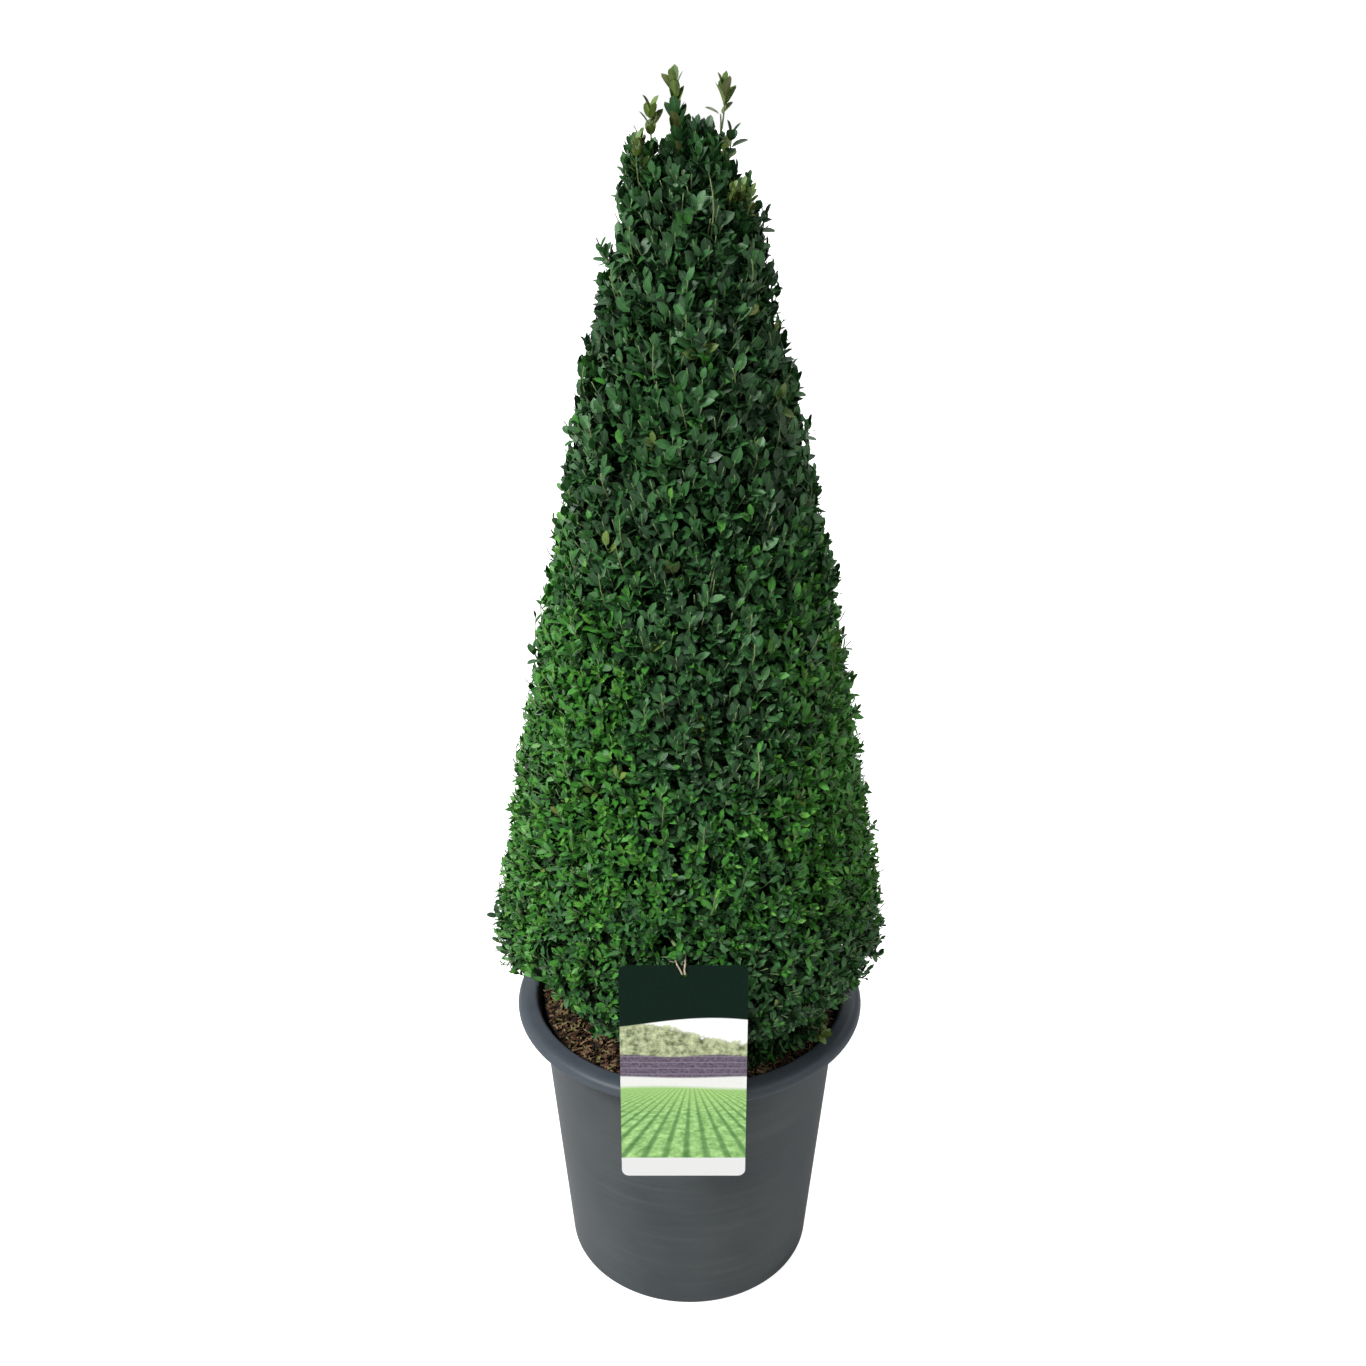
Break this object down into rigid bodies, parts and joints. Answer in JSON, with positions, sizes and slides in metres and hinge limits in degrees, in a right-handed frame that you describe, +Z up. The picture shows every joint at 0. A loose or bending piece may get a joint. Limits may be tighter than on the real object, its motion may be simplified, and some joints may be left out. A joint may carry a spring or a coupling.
{
  "type": "potted boxwood cone topiary",
  "caption": "Boxwood clipped to a tall tapering cone, with loose shoots at its top, in a round tapering grey pot with a wide rolled lip, and a card tied to its foliage.",
  "frame": {"origin": "centre of the pot's flat underside", "axes": "+Z up along the trunk, -Y towards the side that carries the card, +X to the right as seen from the front"},
  "size_m": [0.396, 0.399, 1.2091],
  "materials": {
    "pot": "matte moulded plastic with a soft sheen on the lip",
    "soil": "loose bark and leaf litter",
    "trunk": "fine corky bark",
    "foliage": "small glossy leaves",
    "young_shoots": "soft young leaves",
    "card": "smooth printed plastic card",
    "tie": "dry raffia"
  },
  "bodies": {
    "root": {"pot": "pot", "soil": "soil", "trunk": "trunk", "foliage_skirt": "foliage", "foliage_lower": "foliage", "foliage_middle": "foliage", "foliage_upper": "foliage", "foliage_tip": "young_shoots", "label_card": "card", "label_tie": "tie"}
  },
  "joints": []
}
